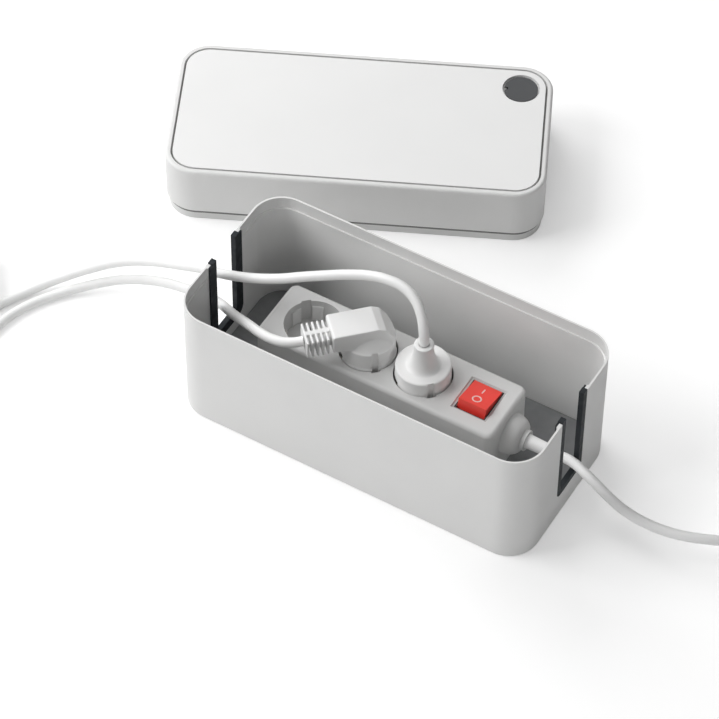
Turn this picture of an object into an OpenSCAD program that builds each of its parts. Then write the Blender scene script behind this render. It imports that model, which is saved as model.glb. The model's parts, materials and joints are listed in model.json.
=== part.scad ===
// Cable management box with its lid lifted off, and a three-way socket strip inside.
// X runs along the box, Z is up, and the origin is the middle of the underside of the box.

/* [Box] */
// Outer length of the box
box_len = 246; // [236:1:300]
// Outer depth of the box, front to back
box_dep = 116; // [106:1:140]
// Height of the rim above the table
rim_z = 91; // [86:0.5:105]
// Wall of the box and of the lid skirt
wall = 2.2; // [1.8:0.1:3]
// Outer corner radius seen from above
corner_r = 20.5; // [16:0.5:26]
// Thickness of the floor
floor_th = 3; // [2:0.5:4]
// Radius of the edge around the underside
base_edge_r = 1.5; // [0.8:0.1:1.9]
// Thickness of the thin lip at the rim, outside the step
rim_th = 1.2; // [0.8:0.1:1.4]
// Depth of the step inside the rim
rim_step = 9; // [8.7:0.1:12]

/* [Cable slots] */
// Width of each opening in the end walls
slot_w = 31; // [27:0.5:36]
// Height of the lowest point of each opening
slot_bottom_z = 18.8; // [14:0.2:22]
// Radius of the opening's bottom corners
slot_r = 5; // [3.5:0.5:6]
// Length of full wall left at each side of an opening
stub_len = 3.5; // [2:0.5:5]
// Thickness of the soft trim inside an opening
trim_th = 4.5; // [3:0.25:5]
// Thickness of the trim's flange behind the wall
flange_th = 1.1; // [0.8:0.1:2]
// How far the flange reaches past the opening
flange_w = 2.8; // [1.5:0.1:4]
// How far the trim stands above the rim
trim_top = 0.8; // [0:0.1:1.5]

/* [Floor mat] */
// Thickness of the dark mat on the floor
mat_th = 2; // [1:0.5:3]
// Gap between the mat and the walls
mat_gap = 0.3; // [0.1:0.1:0.4]

/* [Lid] */
// Height of the lid's skirt
skirt_h = 35.8; // [30:0.2:45]
// Radius of the soft edge around the top of the lid
lid_edge_r = 2; // [1:0.2:3]
// Thickness of the lid's deck under the panel
deck_th = 2.2; // [1.6:0.1:3]
// Thickness of the inlaid top panel
panel_th = 2; // [1.5:0.1:2.5]
// Distance from the lid's edge to the groove around the panel
panel_inset = 3.5; // [3.1:0.1:5]
// Width of the groove
groove_w = 1.4; // [1:0.1:1.8]
// Height of the lip below the skirt
lip_h = 8.6; // [7:0.1:8.7]
// Thickness of the lip
lip_th = 1.4; // [1.2:0.1:1.8]
// Gap between the lip and the rim when the lid is on
lip_gap = 0.4; // [0.2:0.1:0.6]
// How far the lip runs up inside the skirt
lip_root = 5; // [3:0.5:8]
// How far to the left the lid stands
lid_x = -127.1; // [-135:0.1:-120]
// How far behind the box the lid stands
lid_y = 175.8; // [170:0.1:185]
// Turn of the lid on the table
lid_turn = 25.4; // [20:0.2:30]

/* [Stopper] */
// Distance of the stopper from the lid's right edge
stopper_from_side = 20.9; // [18:0.1:26]
// Distance of the stopper from the lid's rear edge
stopper_from_rear = 20.9; // [18:0.1:26]
// Diameter of the opening in the panel
stopper_hole_d = 24.6; // [23:0.2:27]
// Diameter of the stopper's cap
cap_d = 22; // [20:0.2:22.6]
// Thickness of the cap
cap_th = 1.4; // [1:0.1:1.8]
// Diameter of the stopper's body below the cap
plug_d = 19; // [16:0.2:19.6]
// Length of the body below the cap
plug_h = 7; // [4:0.5:9]
// Running gap around the body
stopper_gap = 0.3; // [0.2:0.05:0.4]
// Width of the finger notch in the cap
notch_w = 2.4; // [1.5:0.1:3]

/* [Socket strip] */
// Length of the strip's housing
strip_len = 167; // [162:1:174]
// Width of the housing
strip_w = 47; // [46:0.5:52]
// Height of the housing
strip_h = 45; // [43:0.5:50]
// Height of the cable axis above the underside of the strip
axis_h = 26.5; // [25.5:0.5:27.5]
// Radius of the soft edge around the top of the housing
strip_edge_r = 3; // [2:0.2:3.4]
// Radius of the housing's vertical edges
strip_corner_r = 5.5; // [4:0.25:6.5]
// Wall of the housing
strip_wall = 2.2; // [1.6:0.1:2.4]
// Thickness of the housing's top
strip_top_th = 3.6; // [3.4:0.1:4.5]
// Gap from the left end of the strip to its first well
first_gap = 10; // [8:0.1:12]
// Gap between two wells
well_gap = 1.7; // [1:0.1:2.6]
// Gap from the last well to the switch bezel
switch_gap = 8.1; // [6.5:0.1:9.5]
// Gap from the switch bezel to the right end
last_gap = 9.1; // [7:0.1:11]

/* [Socket] */
// Diameter of a socket well
well_d = 37.2; // [37:0.1:37.8]
// Depth of a socket well
well_h = 17.5; // [16:0.25:18]
// Thickness of the cup around and under a well
cup_th = 1.3; // [1:0.1:1.6]
// Distance between the two pins of a plug
pin_pitch = 19; // [18.5:0.1:19.5]
// Diameter of a pin
pin_d = 4.8; // [4.5:0.1:5]
// Length of a pin
pin_len = 19; // [17:0.5:19.5]
// Gap around a pin in a socket
pin_gap = 0.3; // [0.2:0.05:0.5]
// Width of an earth clip
clip_w = 5; // [4:0.25:5.5]
// Thickness of an earth clip
clip_th = 0.8; // [0.6:0.1:1]
// Distance of an earth clip from the middle of the well
clip_at = 16.9; // [16.7:0.1:17.2]
// Width of the guide channel in a well
guide_w = 6.4; // [5.5:0.1:7]
// Depth of the guide channel
guide_th = 1; // [0.6:0.1:1.2]

/* [Switch] */
// Width of the switch bezel along the strip
bezel_w = 24.8; // [24:0.2:26]
// Length of the bezel across the strip
bezel_l = 27.3; // [27:0.2:29]
// Thickness of the bezel
bezel_th = 0.9; // [0.8:0.1:1.2]
// Depth of the bezel's face below the top of the strip
bezel_drop = 0.8; // [0.5:0.1:1.4]
// Width of the rocker
rocker_w = 19; // [18:0.1:19.4]
// Length of the rocker
rocker_l = 20.8; // [20:0.1:21.2]
// Height of the rocker's face above its pivot
rocker_rise = 7; // [6.5:0.1:7.4]
// Depth of the rocker below its pivot
rocker_drop = 5; // [4:0.1:6]
// Gap at each side of the rocker
rocker_gap = 0.4; // [0.3:0.05:0.5]
// Pivot's depth below the top of the strip
pivot_drop = 4.5; // [4.2:0.1:5]
// Diameter of the pivot pins
pivot_d = 2.4; // [2:0.1:3]
// Tilt of the rocker to each side
rocker_tilt = 12; // [10:0.5:13]
// Wall of the switch case
case_th = 1.5; // [1.2:0.1:1.6]

/* [Cable gland] */
// Radius of the bulge where the supply cable leaves the strip
bulge_r = 13.4; // [12.2:0.2:14.6]
// Length of the bulge
bulge_len = 10.4; // [9:0.2:11.4]
// Radius of the clamp ring
ring_r = 6.7; // [6.3:0.1:7.1]
// Length of the clamp ring
ring_len = 2.6; // [2:0.1:3]
// Diameter of the sleeve at the ring
sleeve_d = 9.4; // [8.6:0.1:9.8]
// Diameter of the sleeve at its tip
sleeve_tip_d = 7.6; // [7:0.1:8]
// Length of the sleeve outside the ring
sleeve_len = 21.6; // [20:0.2:23]

/* [Plugs] */
// Diameter of the part of a plug inside a well
plug_in_d = 35.4; // [35:0.1:36]
// Diameter of the straight plug's disc
disc_d = 34.6; // [33.8:0.1:35.2]
// Height of the straight plug's disc above the strip
disc_h = 10.8; // [9:0.1:12]
// Height of the straight plug above the strip
straight_h = 28.2; // [26:0.2:30]
// Radius of the straight plug's neck
neck_r = 5.6; // [5:0.1:6]
// Radius of the trumpet foot of the neck
trumpet_r = 13; // [11:0.2:14]
// Width of the guide grooves in a plug
plug_groove_w = 4; // [3.2:0.1:4.8]
// Depth of the guide grooves
plug_groove_t = 1.2; // [0.8:0.1:1.6]
// Diameter of the angled plug's disc
angled_d = 34; // [33.4:0.1:34.8]
// Height of the angled plug's disc above the strip
angled_disc_h = 13; // [12:0.2:14]
// Height of the angled plug's arm above the strip
arm_top = 27.6; // [27:0.2:28.6]
// Thickness of the arm
arm_th = 13.5; // [13:0.25:15]
// Width of the arm
arm_w = 20; // [18.5:0.25:22]
// Reach of the arm from the middle of the plug
arm_len = 24.5; // [24:0.25:25.5]
// Number of fins on the angled plug's boot
fin_count = 5; // [3:1:6]
// Distance between fins
fin_pitch = 3.2; // [2.9:0.1:3.4]
// Thickness of a fin
fin_th = 1.4; // [1.1:0.1:1.6]
// Width of a fin
fin_w = 17; // [15:0.25:19]
// Height of a fin
fin_h = 13; // [11:0.25:14]

/* [Cords] */
// Diameter of the cords
cord_d = 6.4; // [6.2:0.1:6.6]
// Radius of a coil at the middle of its turns
coil_r = 34; // [33:0.5:36]
// Turns beside each other in a coil
coil_cols = 2; // [2:1:2]
// Turns on each other in a coil
coil_rows = 3; // [3:1:3]
// Thickness of the ties around the coils
tie_th = 0.8; // [0.6:0.1:1]
// Width of the ties
tie_w = 10; // [8:1:11]

/* [Hidden] */
$fn = 64;
fit = 0.1;
eps = 0.01;

// Box
floor_z = floor_th + mat_th;
step_z = rim_z - rim_step;
wall_in_x = box_len/2 - wall;

// Lid, in its own frame with the tip of its lip on the table
lid_h = lip_h + skirt_h;
lip_inset = rim_th + lip_gap;
deck_z = lid_h - panel_th - deck_th;
panel_z = lid_h - panel_th;
stopper_x = box_len/2 - stopper_from_side;
stopper_y = box_dep/2 - stopper_from_rear;
stopper_hole_r = plug_d/2 + stopper_gap;

// Strip, which lies on the mat behind the middle of the box
strip_x0 = -89.5;
strip_y = 6.3;
strip_z = floor_z;
strip_x1 = strip_x0 + strip_len;
face_z = strip_z + strip_h;
axis_z = strip_z + axis_h;
well_z = face_z - well_h;
cup_z = well_z - cup_th;
gap_sum = first_gap + 2*well_gap + switch_gap + last_gap;
gap_share = (strip_len - 3*well_d - bezel_w)/gap_sum;
pitch = well_d + gap_share*well_gap;
socket_x = [for (i = [0:2]) strip_x0 + gap_share*first_gap + well_d/2 + i*pitch];
socket_turn = -45;
switch_x = socket_x[2] + well_d/2 + gap_share*switch_gap + bezel_w/2;
inner_w = strip_w - 2*strip_wall;

// Contact rails below the sockets
rail_w = 6;
rail_th = 1;
rail_z = strip_z + 15;
rail_dy = pin_pitch/2*sin(45);
pin_tip_z = well_z - pin_len;
sleeve_out_r = pin_d/2 + pin_gap + 1;

// Screws that join the two halves of the housing
screw_r = 1.5;
screw_head_r = 3;
screw_head_h = 2;
boss_r = 3.6;
boss_x = [strip_x0 + strip_wall + 2.6, strip_x1 - strip_wall - 2.6];
boss_dy = inner_w/2 - 2.5;
screw_tip_z = axis_z + 8;

// Switch
bezel_z = face_z - bezel_drop - bezel_th;
pivot_z = face_z - pivot_drop;
rocker_slot_w = rocker_w + 2*rocker_gap;
rocker_reach = rocker_l/2*cos(rocker_tilt) + rocker_rise*sin(rocker_tilt);
rocker_slot_l = 2*(rocker_reach + rocker_gap);
case_bottom_z = pivot_z - rocker_rise - rocker_drop - 4;
pivot_len = rocker_gap + case_th - 0.2;

// Cable gland
bulge_x = strip_x1;
ring_x = bulge_x + bulge_len;
sleeve_root = 8;
sleeve_x0 = ring_x + ring_len - sleeve_root;
sleeve_x1 = ring_x + ring_len + sleeve_len;

// Earth parts of a plug
earth_groove_w = clip_w + 0.8;
earth_plate_th = 0.7;
earth_groove_t = plug_in_d/2 - clip_at + 0.4 + earth_plate_th;
pin_root = 6;
pin_root_d = pin_d - 1;
angled_x = socket_x[1];
straight_x = socket_x[2];

// Boot of the angled plug
boot_z = 19;
boot_len = fin_count*fin_pitch;
boot_core_r = 4.6;
boot_tip_r = cord_d/2 + 1.4;
boot_end = arm_len + boot_len;

// Coils, which lie on their ties
coil_w = coil_cols*cord_d;
coil_h = coil_rows*cord_d;
coil_z = tie_th + fit;
lead_a_coil_at = [-308, -62];
lead_b_coil_at = [-275, -140];
supply_coil_at = [240, 85];

// Routes of the cords from what they leave to the turn where their coil starts
lead_a_route = [
    [16.9, 6.3, face_z + straight_h], [15, 8.5, 87.5], [10.3, 13.1, 95.4], [3, 17.5, 100.5],
    [-6, 20, 103.1], [-16.5, 20.5, 103], [-27, 20, 101], [-42, 17, 96.5], [-56, 13, 91.5],
    [-70.5, 8.5, 86], [-84.5, 4.5, 80], [-103, 0.2, 74.2], [-122, -4.4, 71.9], [-135, -4.6, 69],
    [-150, -4, 62.5], [-176, -1.2, 48.5], [-200, -0.6, 33], [-220, -4, 18.5], [-236, -12.5, 9],
    [-249, -27, 4.3], [-259, -45, 3.3], [-267, -62, 3.3], [-274.9, -78.8, 4.1]
];
lead_b_route = [
    [-50.6, -22.3, face_z + boot_z], [-59, -27, 67], [-69, -28.5, 65.5], [-79.5, -26.5, 63.5],
    [-88.5, -22.5, 60], [-97, -18, 55.5], [-105, -13.5, 50.5], [-113.5, -8.5, 46],
    [-122, -4.2, 43], [-135, -1.6, 40.5], [-150, 0, 36.5], [-167, 1.8, 30.5], [-181, 2.3, 24.3],
    [-194, 1.6, 17.8], [-206, -1, 12], [-217, -6.5, 7.4], [-228, -15.5, 4.3], [-238, -28, 3.3],
    [-246, -42, 3.2], [-251, -57, 3.2], [-252.5, -75, 3.2], [-249, -95, 3.2], [-242.5, -115, 3.4],
    [-238, -136.3, 4.1]
];
supply_route = [
    [sleeve_x1, 6.3, axis_z], [122, 5.9, 31.3], [132, 3.2, 30], [142, 0.2, 28], [152, -2.8, 26],
    [163, -5, 23.8], [176, -5.4, 21.7], [190, -4, 20.5], [205, -0.2, 20], [221, 7.3, 18.8],
    [236, 17, 14.5], [249, 29, 9], [259.5, 43.5, 5], [266.2, 55.5, 4], [272.2, 66.4, 4.1]
];

// Last stretch of each cord, seen from its coil: over the turns and off to what is on its end
lead_tail = [
    [-5.3, -30.3, 17], [10.5, -29, 19.3], [24.5, -21, 22.8], [35, -8.5, 23.8], [42, 7, 21],
    [45, 23.5, 14.5], [45, 38, 9], [45, 50, 7.6]
];
supply_tail = [
    [-5.3, -30.3, 17], [10.5, -29, 19.3], [24.5, -21, 22.8], [35, -8.5, 23.8], [42, 4, 21.4],
    [45, 18, 18.7], [45, 32, 17.8]
];

// ---- Shapes used more than once ----

// Rectangle with round corners, centred
module round_rect(l, d, r) {
    square([l - 2*r, d], center = true);
    square([l, d - 2*r], center = true);
    for (sx = [-1, 1], sy = [-1, 1])
        translate([sx*(l/2 - r), sy*(d/2 - r)]) circle(r = r);
}

// The same rectangle as a straight block that stands on z
module round_block(l, d, r, z, h) {
    translate([0, 0, z]) linear_extrude(h) round_rect(l, d, r);
}

// Round edge of radius e at height z, kept on the outer side of the corner's axis
module soft_edge(r, e, z) {
    intersection() {
        translate([r - e, z]) circle(r = e);
        translate([0, z - e]) square([r, 2*e]);
    }
}

// Outline from the corner's axis out to the face, with a soft edge at top or bottom
module edge_outline(r, h, top_r, bottom_r) {
    translate([0, bottom_r]) square([r, h - top_r - bottom_r]);
    square([r - max(top_r, bottom_r), h]);
    if (top_r > 0) {
        translate([0, h - top_r]) square([r - top_r, top_r]);
        soft_edge(r, top_r, h - top_r);
    }
    if (bottom_r > 0) {
        square([r - bottom_r, bottom_r]);
        soft_edge(r, bottom_r, bottom_r);
    }
}

// Round-cornered block whose top and bottom edges may be soft
module soft_block(l, d, r, h, top_r, bottom_r) {
    translate([-(l/2 - r), -(d/2 - r), 0]) cube([l - 2*r, d - 2*r, h]);
    for (m = [0, 1]) {
        mirror([0, m, 0])
            translate([-(l/2 - r), d/2 - r, 0])
                rotate([90, 0, 90]) linear_extrude(l - 2*r) edge_outline(r, h, top_r, bottom_r);
        mirror([m, 0, 0])
            translate([l/2 - r, d/2 - r, 0])
                rotate([90, 0, 0]) linear_extrude(d - 2*r) edge_outline(r, h, top_r, bottom_r);
    }
    for (mx = [0, 1], my = [0, 1])
        mirror([mx, 0, 0]) mirror([0, my, 0])
            translate([l/2 - r, d/2 - r, 0])
                rotate_extrude(angle = 90) edge_outline(r, h, top_r, bottom_r);
}

// Opening that is round at its two lower corners and square at the top
module slot_outline(w, z0, z1, r) {
    translate([-w/2, z0 + r]) square([w, z1 - z0 - r]);
    translate([-w/2 + r, z0]) square([w - 2*r, r + eps]);
    for (s = [-1, 1]) translate([s*(w/2 - r), z0 + r]) circle(r = r);
}

// Outline above, as a block from x0 to x1
module slot_block(x0, x1, w, z0, z1, r) {
    translate([x0, 0, 0]) rotate([90, 0, 90]) linear_extrude(x1 - x0) slot_outline(w, z0, z1, r);
}

// ---- Box ----

module box_shell() {
    inner_r = corner_r - wall;
    color([0.93, 0.93, 0.92]) difference() {
        soft_block(box_len, box_dep, corner_r, rim_z, 0, base_edge_r);
        round_block(box_len - 2*wall, box_dep - 2*wall, inner_r, floor_th, rim_z);
        difference() {
            round_block(box_len - 2*rim_th, box_dep - 2*rim_th, corner_r - rim_th, step_z, rim_z);
            cube([2*box_len, slot_w + 2*stub_len, 3*rim_z], center = true);
        }
        for (m = [0, 1]) mirror([m, 0, 0])
            slot_block(wall_in_x - 1, box_len/2 + 1, slot_w, slot_bottom_z, rim_z + 1, slot_r);
    }
}

module slot_trim(m) {
    open_w = slot_w - 2*trim_th;
    top_z = rim_z + trim_top;
    flange_x = wall_in_x - fit - flange_th;
    color([0.17, 0.19, 0.2]) mirror([m, 0, 0]) difference() {
        union() {
            slot_block(flange_x, box_len/2, slot_w - 2*fit, slot_bottom_z + fit, top_z, slot_r);
            slot_block(flange_x, wall_in_x - fit, slot_w + 2*flange_w,
                       slot_bottom_z - flange_w, rim_z, slot_r + flange_w);
        }
        slot_block(flange_x - 1, box_len/2 + 1, open_w, slot_bottom_z + trim_th, top_z + 1, 1.5);
    }
}

module floor_mat() {
    inset = wall + mat_gap;
    color([0.22, 0.23, 0.23])
        round_block(box_len - 2*inset, box_dep - 2*inset, corner_r - inset, floor_th, mat_th);
}

// ---- Lid ----

module on_lid() {
    translate([lid_x, lid_y, 0]) rotate(lid_turn) children();
}

module lid_shell() {
    inner_h = deck_z - lip_h;
    root_z = lip_h + lip_root;
    lip_l = box_len - 2*lip_inset;
    lip_d = box_dep - 2*lip_inset;
    lip_r = corner_r - lip_inset;
    color([0.93, 0.93, 0.92]) on_lid() difference() {
        union() {
            difference() {
                translate([0, 0, lip_h])
                    soft_block(box_len, box_dep, corner_r, skirt_h, lid_edge_r, 0);
                round_block(box_len - 2*wall, box_dep - 2*wall, corner_r - wall, lip_h - 1, inner_h + 1);
            }
            difference() {
                round_block(lip_l, lip_d, lip_r, 0, root_z);
                round_block(lip_l - 2*lip_th, lip_d - 2*lip_th, lip_r - lip_th, -1, root_z + 2);
                translate([0, 0, lip_h/2 - 1])
                    cube([2*box_len, slot_w + 2*stub_len + 2, lip_h + 2], center = true);
            }
        }
        panel_recess();
        translate([stopper_x, stopper_y, deck_z - 1])
            cylinder(r = stopper_hole_r, h = deck_th + panel_th + 2);
    }
}

// Space that the panel lies in, groove included
module panel_recess() {
    inset = panel_inset;
    round_block(box_len - 2*inset, box_dep - 2*inset, corner_r - inset, panel_z, panel_th + 1);
}

module lid_panel() {
    inset = panel_inset + groove_w;
    color([0.95, 0.95, 0.94]) on_lid() difference() {
        round_block(box_len - 2*inset, box_dep - 2*inset, corner_r - inset, panel_z, panel_th);
        translate([stopper_x, stopper_y, panel_z - 1]) cylinder(d = stopper_hole_d, h = panel_th + 2);
    }
}

module lid_stopper() {
    rim_w = 1.4;
    color([0.36, 0.37, 0.38]) on_lid() translate([stopper_x, stopper_y, panel_z]) difference() {
        union() {
            cylinder(d = cap_d, h = cap_th);
            translate([0, 0, -plug_h]) cylinder(d = plug_d, h = plug_h);
        }
        translate([0, 0, -plug_h - 1]) cylinder(d = plug_d - 2*rim_w, h = plug_h);
        translate([-cap_d/2, 0, cap_th/2])
            cube([2*notch_w, notch_w, cap_th], center = true);
    }
}

// ---- Socket strip ----

module at_socket(i) {
    translate([socket_x[i], strip_y, face_z]) rotate(socket_turn) children();
}

// Half of the bulge that holds the cable: up is 1 for the upper half, 0 for the lower one
module half_bulge(up) {
    steps = 8;
    nose_r = ring_r - 0.6;
    profile = [for (i = [0:steps])
        let (a = 90*i/steps)
        [nose_r + (bulge_r - nose_r)*pow(cos(a), 0.8), bulge_len*pow(sin(a), 1.15)]];
    translate([bulge_x, strip_y, axis_z]) difference() {
        rotate([0, 90, 0]) rotate_extrude() polygon(concat([[0, 0]], profile, [[0, bulge_len]]));
        translate([-1, -strip_w, up == 1 ? -strip_h : 0]) cube([bulge_len + 2, 2*strip_w, strip_h]);
        rotate([0, 90, 0]) translate([0, 0, -1]) cylinder(d = sleeve_d, h = bulge_len + 2);
    }
}

// Bore for the sleeve through the end wall
module sleeve_bore() {
    translate([sleeve_x0 - strip_wall, strip_y, axis_z]) rotate([0, 90, 0])
        cylinder(d = sleeve_d, h = sleeve_root + strip_wall + bulge_len);
}

module boss_places(z) {
    for (x = boss_x, s = [-1, 1]) translate([x, strip_y + s*boss_dy, z]) children();
}

module strip_centre(z) {
    translate([(strip_x0 + strip_x1)/2, strip_y, z]) children();
}

module strip_base() {
    half_h = axis_z - strip_z;
    cavity_r = strip_corner_r - strip_wall;
    floor_top = strip_z + strip_wall;
    post_x = [(socket_x[0] + socket_x[1])/2, (socket_x[1] + socket_x[2])/2];
    color([0.74, 0.74, 0.73]) difference() {
        union() {
            difference() {
                strip_centre(strip_z) soft_block(strip_len, strip_w, strip_corner_r, half_h, 0, 1);
                strip_centre(floor_top)
                    round_block(strip_len - 2*strip_wall, inner_w, cavity_r, 0, half_h);
            }
            half_bulge(0);
            intersection() {
                boss_places(strip_z + eps) cylinder(r = boss_r, h = half_h - eps);
                strip_centre(strip_z)
                    round_block(strip_len - 1, strip_w - 1, strip_corner_r - 0.5, 0, half_h);
            }
            for (x = post_x, s = [-1, 1])
                translate([x - 1.5, strip_y + s*rail_dy - 2, floor_top - eps])
                    cube([3, 4, rail_z - floor_top + eps]);
        }
        boss_places(strip_z - 1) {
            cylinder(r = screw_head_r + fit, h = screw_head_h + 1 + fit);
            cylinder(r = screw_r + fit, h = half_h + 2);
        }
        sleeve_bore();
    }
}

module strip_top() {
    half_h = face_z - axis_z;
    cavity_h = half_h - strip_top_th;
    cavity_r = strip_corner_r - strip_wall;
    cup_r = well_d/2 + cup_th;
    color([0.74, 0.74, 0.73]) difference() {
        union() {
            difference() {
                strip_centre(axis_z)
                    soft_block(strip_len, strip_w, strip_corner_r, half_h, strip_edge_r, 0);
                strip_centre(axis_z)
                    round_block(strip_len - 2*strip_wall, inner_w, cavity_r, -1, cavity_h + 1);
            }
            half_bulge(1);
            for (i = [0:2]) translate([socket_x[i], strip_y, cup_z])
                cylinder(r = cup_r, h = face_z - cup_z - 1);
            boss_places(axis_z) cylinder(r = screw_r + 1.2, h = half_h - 1);
        }
        for (i = [0:2]) at_socket(i) well_cut();
        switch_cut();
        boss_places(axis_z - 1) cylinder(r = screw_r + fit, h = screw_tip_z - axis_z + 1 + fit);
        sleeve_bore();
    }
}

// Everything cut out of the housing for one socket
module well_cut() {
    slot_out = clip_at + clip_th + fit;
    translate([0, 0, -well_h]) cylinder(d = well_d, h = well_h + 1);
    intersection() {
        translate([0, 0, -well_h]) cylinder(r = well_d/2 + guide_th, h = well_h + 1);
        translate([-well_d, -guide_w/2, -well_h]) cube([2*well_d, guide_w, well_h + 1]);
    }
    for (s = [-1, 1]) {
        translate([s*pin_pitch/2, 0, -well_h - cup_th - 1])
            cylinder(r = pin_d/2 + pin_gap, h = cup_th + 2);
        translate([0, s*(slot_out - clip_th/2 - fit), -well_h - cup_th/2])
            cube([clip_w + 2*fit, clip_th + 2*fit, cup_th + 2], center = true);
    }
}

// Recess for the bezel and opening for the switch case
module switch_cut() {
    translate([switch_x, strip_y, bezel_z]) {
        translate([0, 0, strip_top_th/2])
            cube([bezel_w + 2*fit, bezel_l + 2*fit, strip_top_th], center = true);
        cube([rocker_slot_w + 2*case_th + 2*fit, rocker_slot_l + 2*case_th + 2*fit, 3*strip_top_th],
             center = true);
    }
}

// Metal band that earths a plug: two springs up the wall, joined under the cup
module earth_clip(i) {
    spring_h = well_h - 3;
    link_z = -well_h - cup_th - clip_th;
    color([0.8, 0.74, 0.55]) at_socket(i) {
        for (s = [-1, 1]) translate([-clip_w/2, s > 0 ? clip_at : -clip_at - clip_th, link_z])
            cube([clip_w, clip_th, spring_h + cup_th + clip_th]);
        translate([-clip_w/2, -clip_at, link_z]) cube([clip_w, 2*clip_at, clip_th]);
    }
}

// Brass rail with a contact sleeve under one pin of each socket: side is 1 for the rear rail
module contact_rail(side) {
    over = 8;
    sleeve_h = 12;
    bore_r = pin_d/2 + pin_gap;
    dx = -side*rail_dy;
    color([0.8, 0.66, 0.35]) translate([dx, strip_y + side*rail_dy, 0]) difference() {
        union() {
            translate([socket_x[0] - over, -rail_w/2, rail_z])
                cube([socket_x[2] - socket_x[0] + 2*over, rail_w, rail_th]);
            for (x = socket_x) translate([x, 0, pin_tip_z]) cylinder(r = sleeve_out_r, h = sleeve_h);
        }
        for (x = socket_x) translate([x, 0, pin_tip_z - 1]) cylinder(r = bore_r, h = sleeve_h + 2);
    }
}

module strip_screws() {
    color([0.7, 0.7, 0.7]) boss_places(strip_z + 0.3) difference() {
        union() {
            cylinder(r = screw_head_r, h = screw_head_h - 0.3);
            cylinder(r = screw_r, h = screw_tip_z - strip_z - 0.3);
        }
        for (a = [0, 90]) rotate(a) cube([0.8, 3.4, 1.6], center = true);
    }
}

// ---- Switch ----

module switch_frame() {
    case_w = rocker_slot_w + 2*case_th;
    case_l = rocker_slot_l + 2*case_th;
    case_h = bezel_z - case_bottom_z;
    color([0.7, 0.7, 0.69]) difference() {
        translate([switch_x, strip_y, bezel_z]) union() {
            translate([-bezel_w/2, -bezel_l/2, 0]) cube([bezel_w, bezel_l, bezel_th]);
            translate([-case_w/2, -case_l/2, -case_h]) cube([case_w, case_l, case_h + eps]);
        }
        translate([switch_x - rocker_slot_w/2, strip_y - rocker_slot_l/2, case_bottom_z + case_th])
            cube([rocker_slot_w, rocker_slot_l, strip_h]);
        translate([switch_x - case_w, strip_y, pivot_z]) rotate([0, 90, 0])
            cylinder(r = pivot_d/2 + fit, h = 2*case_w);
    }
}

module rocker() {
    mark_h = 0.3;
    sweep_r = sqrt(pow(rocker_l/2, 2) + pow(rocker_rise, 2));
    color([0.86, 0.2, 0.16]) translate([switch_x, strip_y, pivot_z]) rotate([-rocker_tilt, 0, 0]) {
        difference() {
            union() {
                intersection() {
                    translate([-rocker_w/2, -rocker_l/2, -rocker_drop])
                        cube([rocker_w, rocker_l, rocker_rise + rocker_drop]);
                    rotate([0, 90, 0]) cylinder(r = sweep_r, h = rocker_w, center = true);
                }
                rotate([0, 90, 0]) cylinder(d = pivot_d, h = rocker_w + 2*pivot_len, center = true);
            }
            translate([-rocker_w/2 + 3, 4, rocker_rise - mark_h]) mark_line();
            translate([0, -4.5, rocker_rise - mark_h]) mark_ring();
        }
    }
}

// Generic on mark, a short bar
module mark_line() {
    translate([rocker_w/2 - 3 - 0.4, -2, 0]) cube([0.8, 4, 1]);
}

// Generic off mark, a ring
module mark_ring() {
    difference() {
        cylinder(r = 2.8, h = 1);
        translate([0, 0, -1]) cylinder(r = 2, h = 3);
    }
}

// ---- Cable gland ----

module gland_ring() {
    color([0.72, 0.72, 0.71]) translate([ring_x, strip_y, axis_z]) rotate([0, 90, 0]) difference() {
        cylinder(r = ring_r, h = ring_len);
        translate([0, 0, -1]) cylinder(d = sleeve_d + 2*fit, h = ring_len + 2);
    }
}

module cord_sleeve() {
    color([0.93, 0.93, 0.92]) translate([sleeve_x0, strip_y, axis_z]) rotate([0, 90, 0]) {
        cylinder(d = sleeve_d - 2*fit, h = sleeve_root);
        translate([0, 0, sleeve_root])
            cylinder(d1 = sleeve_d - 2*fit, d2 = sleeve_tip_d, h = sleeve_len);
    }
}

// ---- Plugs: z is 0 at the face of the strip, pins lie along X, earth plates along Y ----

// Grooves down the side of a plug from z0 to z1
module plug_grooves(r, z0, z1) {
    for (a = [0, 180]) rotate(a) {
        translate([r - plug_groove_t, -plug_groove_w/2, z0])
            cube([plug_groove_t + 5, plug_groove_w, z1 - z0]);
        translate([-earth_groove_w/2, plug_in_d/2 - earth_groove_t, z0])
            cube([earth_groove_w, earth_groove_t + 5, -z0]);
    }
}

module pin_bores() {
    for (s = [-1, 1]) translate([s*pin_pitch/2, 0, -well_h - 1])
        cylinder(d = pin_root_d, h = pin_root + 1);
}

module plug_pins() {
    color([0.8, 0.8, 0.8]) {
        for (s = [-1, 1]) translate([s*pin_pitch/2, 0, -well_h - pin_len + 1]) {
            translate([0, 0, -1]) cylinder(d1 = pin_d - 1.6, d2 = pin_d, h = 1);
            cylinder(d = pin_d, h = pin_len - 1);
            cylinder(d = pin_root_d, h = pin_len + pin_root - 1);
        }
        for (a = [0, 180]) rotate(a)
            translate([-clip_w/2, clip_at - 0.4 - earth_plate_th, -well_h + 1.5])
                cube([clip_w, earth_plate_th, well_h - 2.5]);
    }
}

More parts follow.
